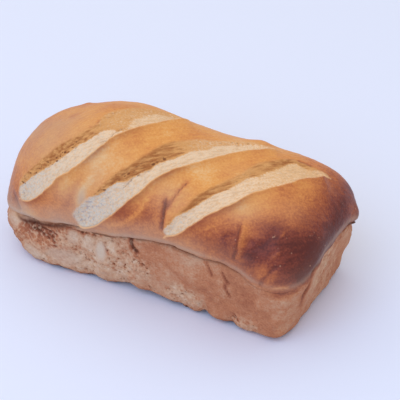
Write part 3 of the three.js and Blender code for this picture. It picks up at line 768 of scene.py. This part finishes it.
# How dark the crust is baked, from 0, pale gold, to 1, nearly black: a share that changes along the loaf,
# more of it down the dome's front, and patches with a place, reaches along, across and up, and a change.
bake = {
    "along": [
        (-125, 0.44), (-95, 0.4), (-60, 0.3), (0, 0.27), (40, 0.28), (70, 0.36), (90, 0.48), (108, 0.64),
        (125, 0.86),
    ],
    "frontDown": 0.25,  # more at the lip than on the crown
    "patches": [
        ((101, -46, 80), (20, 15, 13), 0.18), ((88, -57, 73), (8, 8, 9), 0.18),
        ((116, -55, 56), (7, 8, 5), -0.1), ((118, -24, 76), (12, 18, 12), 0.08),
        ((124, 6, 72), (8, 22, 14), 0.26), ((69, -56, 77), (9, 9, 9), 0.24),
        ((50, -55, 82), (14, 8, 12), 0.18), ((73, -40, 95), (8, 6, 6), -0.1),
        ((104, -26, 92), (8, 8, 6), -0.1), ((25, -50, 88), (4, 6, 8), 0.14),
        ((34, -40, 93), (10, 8, 8), 0.08), ((98, -4, 95), (14, 12, 9), -0.14),
        ((80, -25, 97), (12, 14, 10), -0.08), ((8, 14, 104), (24, 16, 10), 0.04),
        ((0, -18, 103), (12, 8, 8), 0.08), ((-6, -59, 76), (10, 5, 8), 0.28),
        ((8, -56, 80), (8, 6, 10), 0.16), ((16, -54, 76), (7, 8, 14), 0.12),
        ((-104, -47, 34), (7, 9, 7), -0.4), ((-56, -57, 68), (14, 8, 10), 0.06),
        ((-28, -40, 95), (14, 14, 10), -0.04), ((-41, -56, 74), (3.5, 6, 9), -0.25),
        # the second of these lightens the lip's underside at the left: painted reflection of the floor
        ((107, -44, 82), (10, 10, 8), 0.1), ((-84, -57, 46), (12, 8, 8), -0.36),
        ((-78, -58, 62), (14, 8, 8), -0.1), ((122, -19, 77), (6, 10, 8), -0.12),
        ((124, 12, 70), (6, 16, 10), -0.1), ((82, -58, 76), (6, 8, 8), -0.12),
        ((54, -60, 71), (8, 8, 7), 0.12), ((1, -61, 62), (6, 6, 6), 0.1),
        ((-23, -61, 56), (10, 8, 6), -0.1), ((31, -22, 103), (12, 6, 10), -0.12),
        ((-43, -39, 101), (8, 8, 8), -0.14), ((70, -38, 97), (9, 5, 8), -0.06),
        ((-43, 16, 109), (10, 8, 8), 0.1), ((12, 13, 104), (16, 12, 10), 0.08),
        ((17, -49, 87), (8, 8, 7), 0.11), ((93, -40, 89), (8, 6, 6), 0.1), ((71, -51, 86), (7, 6, 6), 0.13),
        ((70, -60, 70), (6, 6, 6), 0.08), ((86, -58, 71), (8, 8, 6), 0.1),
        ((101, -59, 62), (8, 6, 6), -0.14), ((97, -56, 72), (6, 6, 5), 0.08),
        ((116, 43, 74), (6, 8, 8), 0.15), ((4, -61, 62), (14, 6, 6), 0.06),
        ((125, 29, 67), (5, 8, 8), -0.2), ((-88, 30, 94), (12, 14, 10), 0.14),
        ((-80, -2, 103), (4, 4, 4), 0.2),
    ],
    # patches of the greyish bloom, which also paints sheen
    "dustAndSheenPatches": [
        ((-60, -20, 98), (30, 18, 14), 0.15), ((-50, -56, 74), (16, 8, 12), 0.4),
        ((-34, -48, 90), (10, 14, 10), 0.3), ((73, -41, 94), (14, 10, 6), 0.2),
        ((-95, -24, 88), (24, 30, 22), 0.4), ((-120, 0, 66), (12, 44, 34), 0.4),
        ((24, -45, 90), (14, 12, 10), 0.3), ((124, 10, 70), (6, 30, 12), -0.06),
        ((-72, -12, 98), (26, 26, 16), 0.12), ((-25, -36, 98), (22, 14, 12), 0.12),
        ((55, -14, 101), (20, 12, 10), 0.08), ((102, -24, 92), (12, 12, 10), 0.1),
        ((-41, -56, 74), (3.5, 6, 9), 0.75), ((-46, -55, 78), (3, 6, 9), 0.2),
        ((84, -34, 95), (16, 12, 10), 0.08),
    ],
    "dustAndSheenUneven": 0.3,  # varied by this much over swells of the size below, in mm
    "dustAndSheenSize": 18,
    "dustAndSheenHeight": 16,  # the greyish bloom and painted sheen reach this far up from the lip
    "lipDustAndSheen": 0.35,  # more of it along the lip's underside, painted reflection of the floor with the bloom
    "dustAndSheenShare": [(-125, 0.4), (-95, 0.6), (-50, 0.6), (10, 0.42), (40, 0.3), (80, 0.16), (125, 0.08)],
    "wallAlong": [
        (-125, 0.42), (-85, 0.5), (-60, 0.44), (-40, 0.34), (-15, 0.32), (10, 0.38), (60, 0.46), (95, 0.52),
        (125, 0.42),
    ],
    "wallPatches": [
        ((-84, -50, 30), (16, 14, 8), 0.3), ((-104, -47, 34), (6, 12, 7), -0.45),
        ((-62, -54, 40), (9, 12, 4), 0.2), ((-52, -54, 37), (6, 12, 7), -0.1),
        ((-39, -55, 34), (6, 12, 9), -0.06), ((-29, -55, 33), (4.5, 12, 10), -0.1),
        ((-18, -55, 41), (7, 12, 6), -0.15), ((12, -58, 53), (12, 10, 4), 0.15),
        ((-15, -52, 18), (30, 12, 10), -0.12), ((-79, -54, 25), (10, 10, 8), -0.2),
        ((-62, -53, 43), (8, 10, 7), -0.15), ((120, -12, 40), (8, 16, 16), -0.15),
        ((73, -54, 32), (10, 10, 10), -0.12), ((84, -56, 32), (8, 8, 8), 0.14),
        ((124, 10, 57), (6, 14, 5), 0.2), ((-87, -53, 11), (12, 10, 10), -0.25),
        ((-75, -54, 9), (10, 10, 8), -0.15), ((-44, -51, 15), (10, 8, 8), -0.15),
        ((49, -51, 16), (8, 8, 8), -0.12), ((98, -58, 47), (14, 10, 8), 0.12),
        ((38, -51, 12), (14, 10, 8), -0.12), ((85, -51, 7), (9, 10, 6), -0.2),
        ((119, -36, 40), (5, 7, 24), 0.2),
    ],
    "blotch": 0.06,  # how far blotches of blotchSize make the dome's bake vary, and wallBlotch the wall's
    "wallBlotch": 0.12,
    "blotchSize": 26,
    "footHeight": 4,  # the wall's lowest part is darker, partly painted contact shade, and far more over the hollows: painted shade under the lifted edge
    "footBakeAndShade": 0.12,
    "hollowShade": 0.6,
    "underBakeAndShade": 0.5,  # and the underside, which lay on the tin, by this much: a darker bottom crust and painted shade in the gap under the lifted edge
}


# Adds patches' changes to a share of the bake.
def patched(points, share, patches):
    for place, reach, more in patches:
        share = share + more * bell(np.linalg.norm((points - place) / reach, axis=1))
    return share


# The bake, and the dust with its painted sheen, of each point: the dome's and the wall's shares with their
# patches, the wall's darker at its foot and over the hollows, partly painted shade, the dust's more along the
# lip, and each made uneven by blotches.
def bakeOf(points, under, onWall):
    x, y, z = points.T
    down = ease((under + 40) / 40) * ease(-y / 30)
    dome = patched(points, along(bake["along"], x) + bake["frontDown"] * down, bake["patches"])
    side = patched(points, along(bake["wallAlong"], x), bake["wallPatches"])
    hollow = np.minimum(1, hollowAt(x, y)[0] / 2)
    # painted shade at the wall's foot and under the lifted edges of the hollows, with some darker crust
    side = side + mix(bake["footBakeAndShade"], bake["hollowShade"], hollow) * bell(z / bake["footHeight"])
    dust = along(bake["dustAndSheenShare"], x) * ease(1 + (under + form["lipRise"]) / bake["dustAndSheenHeight"])
    # the bloom and painted sheen, more along the lip's underside, where the floor's reflection is painted
    dust = patched(points, dust, bake["dustAndSheenPatches"]) + bake["lipDustAndSheen"] * bell((under + 3) / 2.5)
    blotch = grain(points, bake["blotchSize"], 4, 14.0)
    baked = mix(dome + bake["blotch"] * blotch, side + bake["wallBlotch"] * blotch, onWall)
    return baked, dust * (1 + bake["dustAndSheenUneven"] * grain(points, bake["dustAndSheenSize"], 2, 3.0))


# The loaf's points and quads, in millimetres, and the values by point that its finish reads. The lattice is
# moved along its normals by the slow forms, then drawn to the slashes' edges, then moved by the fine relief.
def riseLoaf():
    points, quads, rows = loafLattice()
    x, y, _ = points.T
    jitter = noise(x / 11, y / 11, 0 * x) + 0.5 * noise(x / 4, y / 4, 0 * x + 3)
    points[:, 2] += wallFinish["creaseWander"] * jitter * bell(rows / 7) * (rows > -lattice["wall"] / 2)
    normals = normalsOf(points, quads)
    bulge = sum(height * bell(np.linalg.norm(points - at, axis=1) / reach) for at, reach, height in knobs)
    free = points[:, 2] > 0.01
    lift = (swell(points) + lipRelief(points) + bulge) * free
    points = points + normals * lift[:, None]
    points[:, 2] = np.maximum(points[:, 2], 0)
    normals = normalsOf(points, quads)
    points = pullToEdges(points, normals)

    x, y, z = points.T
    relief, inside, values = slashRelief(points)
    under = around(creaseHeight, x, y) - z
    onWall = ease(-rows / 3) * ease(z / 3)
    torn, smooth = tornShare(points)
    torn = torn * onWall
    stroked, strokeShade = strokeRelief(points, normals)
    depth, dark = (
        np.where(y < 0, along(wallFinish[front], x), wallFinish[back])
        for front, back in (("creaseDepth", "creaseBack"), ("creaseShadeStrength", "creaseBackShade"))
    )
    drop = np.where(y < 0, along(wallFinish["creaseShadeDrop"], x), 0)
    coarse, coarseSize = wallFinish["tornCoarse"]
    fine, fineSize = wallFinish["tornFine"]
    ragged = coarse * grain(points, coarseSize, 3, 1.0) + fine * grain(points * (1, 1, 2), fineSize, 2, 8.0)
    pitted = pits(points, wallFinish["pitSpacing"], wallFinish["pitRadius"], wallFinish["pitShare"], 2.0)
    relief += stroked - depth * bell(rows / wallFinish["creaseRows"])
    relief += torn * (ragged - wallFinish["pitDepth"] * pitted)
    relief += onWall * (1 - torn) * (1 - smooth) * wallFinish["wallGrain"] * grain(points, 5, 3, 6.0)
    relief += (1 - onWall) * ease(-inside / 2) * wallFinish["domeGrain"] * grain(points, 4, 3, 11.0)
    points = points + normals * (relief * free)[:, None]
    points[:, 2] = np.maximum(points[:, 2], 0)

    normals = normalsOf(points, quads)
    # How far each point lies below its neighbours, near and wide: the finish paints shade into these hollows
    # and dips.
    near = neighbourMean(points, quads)
    wide = points
    for _ in range(7):
        wide = neighbourMean(wide, quads)
    values["fine"], values["broad"] = (np.einsum("ij,ij->i", mean - points, normals) for mean in (near, wide))
    # painted shade of the crease under the lip, set some rows lower where the lip hides the crease
    values.update(torn=torn, smooth=smooth, crevice=dark * bell((rows + drop) / wallFinish["shadeRows"]))
    values["side"] = sideShare(points, under)
    values["bake"], values["dust"] = bakeOf(points, under, values["side"])
    # the strokes' painted shade and light, and the underside darker: its own crust and painted shade under
    # lifted edges
    values["bake"] += strokeShade + bake["underBakeAndShade"] * ease(-rows - lattice["wall"] + 1)
    return points, quads, values


# Builds the mesh in metres about the middle of its own box, with the finish's values on its points.
def loafMesh():
    points, quads, values = riseLoaf()
    used = np.unique(quads)
    renumber = np.zeros(len(points), int)
    renumber[used] = np.arange(len(used))
    points, quads = points[used], renumber[quads]
    low, high = points.min(axis=0), points.max(axis=0)
    points = (points - [(low[0] + high[0]) / 2, (low[1] + high[1]) / 2, low[2]]) * millimetre
    mesh = bpy.data.meshes.new("tin_loaf")
    mesh.from_pydata(points, [], quads)
    mesh.shade_smooth()
    for name, value in values.items():
        layer = mesh.attributes.new(name, "FLOAT", "POINT")
        layer.data.foreach_set("value", value[used].astype(np.float32))
    print("loaf: points", len(points), "quads", len(quads), "size mm", (high - low).round(1))
    return mesh


# Linear colour from a screen's red, green and blue, 0 to 255 in each: a power of 2.4, straight near black.
def screenColour(channels):
    shares = [channel / 255 for channel in channels]
    return (*[s / 12.92 if s <= 0.04045 else ((s + 0.055) / 1.055) ** 2.4 for s in shares], 1)


finish = bpy.data.materials.new("baked_crust")
finish.use_nodes = True
tree = finish.node_tree
tree.nodes.clear()


# Adds a shader node: its inputs are values or sockets of other nodes, and its settings plain properties.
def put(kind, inputs, output=0, **settings):
    node = tree.nodes.new("ShaderNode" + kind)
    for name, value in settings.items():
        setattr(node, name, value)
    for name, value in inputs.items():
        if isinstance(value, bpy.types.NodeSocket):
            tree.links.new(value, node.inputs[name])
        else:
            node.inputs[name].default_value = value
    return node.outputs[output] if node.outputs else None


# The result of one sum of sockets or numbers.
def calculate(operation, *inputs):
    return put("Math", dict(enumerate(inputs)), operation=operation)


# Value times factor.
def times(value, factor):
    return calculate("MULTIPLY", value, factor)


# Base plus value times factor.
def addTo(base, value, factor):
    return calculate("MULTIPLY_ADD", value, factor, base)


# A colour part of the way from one to another, each a socket or a screen's colour.
def blend(share, start, end):
    start, end = (screenColour(colour) if isinstance(colour, tuple) else colour for colour in (start, end))
    return put("Mix", {0: share, 6: start, 7: end}, 2, data_type="RGBA")


# Carries a value from one range to 0..1 or to another, eased and kept within it.
def rise(value, low, high, start=0, end=1):
    return put("MapRange", {0: value, 1: low, 2: high, 3: start, 4: end}, interpolation_type="SMOOTHSTEP")


# A value of the mesh's points, by name.
def attribute(name):
    return put("Attribute", {}, 2, attribute_name=name)


# The object's own coordinates, in which noise can be drawn out the way the slashes run.
def noisePlace(stretch):
    turn = math.radians(crust["streakTurn"]) if stretch > 1 else 0
    place = put("TexCoord", {}, 3)
    return put("Mapping", {0: place, 2: (0, 0, turn), 3: (stretch, 1, 1)}, vector_type="TEXTURE")


# Noise from 0 to 1, with cells of a size in millimetres.
def texture(size, detail=3, stretch=1):
    inputs = {"Vector": noisePlace(stretch), "Scale": 1 / (size * millimetre), "Detail": detail}
    return put("TexNoise", inputs)


# The same noise about 0.
def swing(size, detail=3, stretch=1):
    return calculate("SUBTRACT", texture(size, detail, stretch), 0.5)


# Distance to the nearest of points scattered at a spacing in millimetres, as a share of that spacing, made
# uneven by noise of twice its size.
def scatter(spacing, stretch=1):
    inputs = {"Vector": noisePlace(stretch), "Scale": 1 / (spacing * millimetre)}
    return addTo(put("TexVoronoi", inputs, "Distance"), swing(2 * spacing, 2), 0.8)


# A colour by a share, from stops of a share and a screen's colour.
def ramp(share, stops):
    node = tree.nodes.new("ShaderNodeValToRGB")
    tree.links.new(share, node.inputs[0])
    elements = node.color_ramp.elements
    for n, (place, colour) in enumerate(stops):
        element = elements[n] if n < 2 else elements.new(place)
        element.position = place
        element.color = screenColour(colour)
    return node.outputs[0]


# Colours are a screen's. A reach is where a value starts to tell and where it tells in full, sometimes with
# its least and its most.
crust = {
    "bakes": [
        (0, (238, 194, 136)), (0.25, (232, 158, 80)), (0.45, (212, 128, 65)), (0.65, (172, 90, 49)),
        (0.85, (128, 56, 38)), (1, (94, 38, 28)),
    ],
    "mottle": 0.24,  # how far mottling of mottleSize mm makes the bake vary
    "mottleSize": 12,
    "speckle": 0.36,
    "speckleSize": 1.4,
    "streak": 0.24,  # streaks that run the way the slashes do
    "streakSize": 2.5,
    "streakStretch": 6,
    "streakTurn": 47,  # degrees
    "dust": (194, 158, 130),  # greys the crust's side, low on the dome: a floury bloom with painted sheen of the pale surroundings
    # scorch outside a slash's near edge, which also paints the shade where the lip turns from the light
    "scorchAndShade": (138, 60, 36),
    "scorchAndShadeShare": 0.85,
    "fleck": (204, 150, 116),  # pale specks of the dark parts
    "fleckSpacing": 3.2,
    "fleckReach": (0.12, -0.1, 0, 0.6),
    "fleckBake": (0.5, 0.8),
    "roughness": (0.4, 0.9, 0.5, 0.45),  # by the bake
    "grainSize": 1.3,  # mm, of the bumps, and their height on the dome and elsewhere
    "grain": (0.4, 1.3),
    "ripple": 1.2,  # and of those that run like the streaks
    "rippleSize": 3.6,
    "rippleStretch": 3,
    "bump": {"Distance": 0.0008, "Strength": 0.8},
}
wall = {
    "bakes": [
        (0, (228, 202, 174)), (0.25, (208, 164, 130)), (0.5, (192, 125, 87)), (0.75, (156, 88, 60)),
        (1, (100, 52, 32)),
    ],
    "patchSize": 5,  # patches make the bake vary by this much, and by the last where the wall is torn
    "patchReach": (0, 1, 0.32, 0.72),
    "dipShade": 0.35,  # how much darker broad dips are: painted shade in them
    "dipShadeReach": (0.2, 1.2),
    # painted shade in the crease under the lip
    "crevice": (88, 42, 24),
    "smooth": (215, 194, 170),
    "smoothShare": 0.75,
    "granule": 2.4,  # granules of the torn parts: the ridges between them, and the pits
    "ridge": (222, 184, 148),
    "ridgeReach": (0.5, 0.8, 0, 0.5),
    "pit": (142, 88, 54),
    "pitReach": (0.3, 0.05, 0, 0.7),
    "roughness": 0.8,
}
crumb = {
    "tones": [(0, (210, 196, 178)), (0.4, (234, 202, 166)), (0.7, (244, 206, 164)), (1, (238, 188, 134))],
    "speckle": 1.1,
    "strandSize": 1.8,
    "shaded": (212, 166, 120),  # soft strands of the pale crumb
    "shadedStretch": 3.5,
    "shadedReach": (0.44, 0.68, 0, 0.5),
    "vein": (160, 146, 150),
    "veinSize": 2.2,
    "veinReach": (0.52, 0.68),
    "veinTone": (0.3, 0, 0, 0.6),
    "brown": (224, 161, 96),
    "brownDark": (174, 106, 54),
    "brownStretch": 5,
    "brownDeep": 0.6,
    "brownDarkReach": (0.9, 1.35),
    "brownSpeckle": 1.2,
    "brownReach": (0, 0.8),
    "pore": (112, 60, 30),
    "poreSpacing": 2.4,
    "poreStretch": 1.8,
    "poreReach": (0.36, 0.12, 0, 0.85),
    "poreBand": (0.25, 0.7),
    # painted shade in small hollows, over the whole surface
    "hollow": (134, 80, 48),
    "hollowShadeReach": (0.08, 0.5, 0, 0.5),
    "crest": (240, 186, 130),  # painted highlight on the rim of a slash's near edge, from either side
    "crestHighlightReach": (-1, -0.3),
    "crestHighlightInside": (1, 0.1),
    "crestHighlightShare": 0.6,
    "roughness": 0.75,
}


# One finish for the whole loaf: the dome by how it is baked, the wall by how it is torn, and the slashes.
# Shade is painted into the crease, the hollows and the dips, sheen into the greyish bloom, and a highlight
# onto the slashes' rims.
def loafFinish():
    names = "rim opened browned tone porous scorched torn smooth crevice fine broad side bake dust"
    rim, opened, browned, tone, porous, scorched, torn, smooth, crevice, fine, broad, side, bake, dust = (
        attribute(name) for name in names.split()
    )

    mottle, speckle = swing(crust["mottleSize"], 5), swing(crust["speckleSize"], 2)
    streaks = swing(crust["streakSize"], 4, crust["streakStretch"])
    baked = addTo(addTo(bake, mottle, crust["mottle"]), speckle, crust["speckle"])
    dome = ramp(addTo(baked, streaks, crust["streak"]), crust["bakes"])
    # greyish bloom with painted sheen, low on the dome and along the lip
    dome = blend(dust, dome, crust["dust"])
    flecks = rise(scatter(crust["fleckSpacing"]), *crust["fleckReach"])
    dome = blend(times(flecks, rise(bake, *crust["fleckBake"])), dome, crust["fleck"])
    # scorch and painted shade outside each near edge
    dome = blend(times(scorched, crust["scorchAndShadeShare"]), dome, crust["scorchAndShade"])

    patches = times(swing(wall["patchSize"], 5), rise(torn, *wall["patchReach"]))
    ripped = calculate("ADD", patches, baked)
    # painted shade in broad dips of the wall
    ripped = addTo(ripped, rise(broad, *wall["dipShadeReach"]), wall["dipShade"])
    sided = ramp(ripped, wall["bakes"])
    granules = scatter(wall["granule"])
    for name in ("ridge", "pit"):
        sided = blend(times(rise(granules, *wall[name + "Reach"]), torn), sided, wall[name])
    sided = blend(times(smooth, wall["smoothShare"]), sided, wall["smooth"])
    colour = blend(side, dome, sided)

    strands = texture(crumb["strandSize"], 3, crumb["brownStretch"])
    deep = rise(addTo(strands, browned, crumb["brownDeep"]), *crumb["brownDarkReach"])
    brown = blend(deep, crumb["brown"], crumb["brownDark"])
    cream = ramp(addTo(tone, speckle, crumb["speckle"]), crumb["tones"])
    soft = rise(texture(crumb["strandSize"], 3, crumb["shadedStretch"]), *crumb["shadedReach"])
    cream = blend(soft, cream, crumb["shaded"])
    veins = rise(texture(crumb["veinSize"], 4), *crumb["veinReach"])
    cream = blend(times(veins, rise(tone, *crumb["veinTone"])), cream, crumb["vein"])
    ragged = addTo(browned, speckle, crumb["brownSpeckle"])
    crumbed = blend(rise(ragged, *crumb["brownReach"]), cream, brown)
    pores = rise(scatter(crumb["poreSpacing"], crumb["poreStretch"]), *crumb["poreReach"])
    crumbed = blend(times(pores, rise(porous, *crumb["poreBand"])), crumbed, crumb["pore"])
    colour = blend(opened, colour, crumbed)

    # painted highlight along the rim of each near edge
    crest = times(rise(rim, *crumb["crestHighlightReach"]), rise(rim, *crumb["crestHighlightInside"]))
    colour = blend(times(crest, crumb["crestHighlightShare"]), colour, crumb["crest"])
    # painted shade in small hollows of the surface
    colour = blend(rise(fine, *crumb["hollowShadeReach"]), colour, crumb["hollow"])
    # painted shade in the crease under the lip
    colour = blend(crevice, colour, wall["crevice"])

    rough = put("Mix", {0: side, 2: rise(baked, *crust["roughness"]), 3: wall["roughness"]})
    rough = put("Mix", {0: opened, 2: rough, 3: crumb["roughness"]})

    grained = rise(calculate("MAXIMUM", side, opened), 0, 1, *crust["grain"])
    height = times(texture(crust["grainSize"]), grained)
    height = addTo(height, texture(crust["rippleSize"], 3, crust["rippleStretch"]), crust["ripple"])
    bump = put("Bump", {"Height": height, **crust["bump"]})
    inputs = {"Base Color": colour, "Roughness": rough, "Normal": bump, "IOR": 1.33}
    put("OutputMaterial", {"Surface": put("BsdfPrincipled", inputs)})
    return finish


stage = {
    "floor": (234, 235, 247),
    "floorReach": 6.0,  # metres
    "floorRoughness": 0.9,
    "world": (0.76, 0.8, 0.87, 1),
    "worldStrength": 0.88,
    "key": (-0.35, 0.15, 1.5),  # metres from the target: to the camera's right, away from it, and up
    "keySize": 3.0,
    "keyPower": 10,
    "keyColour": (1.0, 0.92, 0.7),
    "fill": (-0.7, -1.2, 1.4),
    "fillSize": 1.6,
    "fillPower": 15,
    "fillColour": (0.38, 0.56, 1.0),
}
view = {
    "azimuth": 28,  # degrees to the right of straight in front
    "elevation": 35.5,
    "distance": 1.1,  # metres
    "target": (0.01197, 0.01619, 0.0476),
    "lens": 138.57,  # mm
    "sensor": 36,
}


# A level square floor at height 0.
def addFloor():
    reach = stage["floorReach"]
    mesh = bpy.data.meshes.new("floor")
    corners = [(-reach, -reach, 0), (reach, -reach, 0), (reach, reach, 0), (-reach, reach, 0)]
    mesh.from_pydata(corners, [], [(0, 1, 2, 3)])
    floor = bpy.data.objects.new("floor", mesh)
    bpy.context.collection.objects.link(floor)
    material = bpy.data.materials.new("pale_floor")
    material.use_nodes = True
    shader = material.node_tree.nodes["Principled BSDF"]
    shader.inputs["Base Color"].default_value = screenColour(stage["floor"])
    shader.inputs["Roughness"].default_value = stage["floorRoughness"]
    mesh.materials.append(material)


# The camera's axes: to the right, up, and back from the target.
def cameraAxes():
    turn, tilt = math.radians(view["azimuth"]), math.radians(view["elevation"])
    back = Vector((math.sin(turn) * math.cos(tilt), -math.cos(turn) * math.cos(tilt), math.sin(tilt)))
    right = Vector((math.cos(turn), math.sin(turn), 0))
    return right, back.cross(right), back


# The camera, back from the target by its distance.
def addCamera():
    right, up, back = cameraAxes()
    data = bpy.data.cameras.new("camera")
    data.lens = view["lens"]
    data.sensor_width = view["sensor"]
    camera = bpy.data.objects.new("camera", data)
    place = Vector(view["target"]) + back * view["distance"]
    camera.matrix_world = Matrix.Translation(place) @ Matrix((right, up, back)).transposed().to_4x4()
    bpy.context.collection.objects.link(camera)
    bpy.context.scene.camera = camera


# A square area light that looks at the target, from a place to the camera's right, away from it, and up.
def addLight(name):
    right = cameraAxes()[0]
    away = Vector((-right.y, right.x, 0))
    across, deep, high = stage[name]
    data = bpy.data.lights.new(name, "AREA")
    data.size = stage[name + "Size"]
    data.energy = stage[name + "Power"]
    data.color = stage[name + "Colour"]
    light = bpy.data.objects.new(name, data)
    offset = right * across + away * deep + Vector((0, 0, high))
    turn = offset.to_track_quat("Z", "Y").to_matrix().to_4x4()
    light.matrix_world = Matrix.Translation(Vector(view["target"]) + offset) @ turn
    bpy.context.collection.objects.link(light)


# An even world with the two lights.
def lightScene():
    world = bpy.data.worlds.new("world")
    world.use_nodes = True
    background = world.node_tree.nodes["Background"]
    background.inputs[0].default_value = stage["world"]
    background.inputs[1].default_value = stage["worldStrength"]
    scene = bpy.context.scene
    scene.world = world
    scene.view_settings.view_transform = "Standard"
    addLight("key")
    addLight("fill")


mesh = loafMesh()
mesh.materials.append(loafFinish())
loaf = bpy.data.objects.new("tin_loaf", mesh)
bpy.context.collection.objects.link(loaf)
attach(loaf, "root")
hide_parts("loaf")
print("loaf done")

addFloor()
addCamera()
lightScene()
print("stage done")
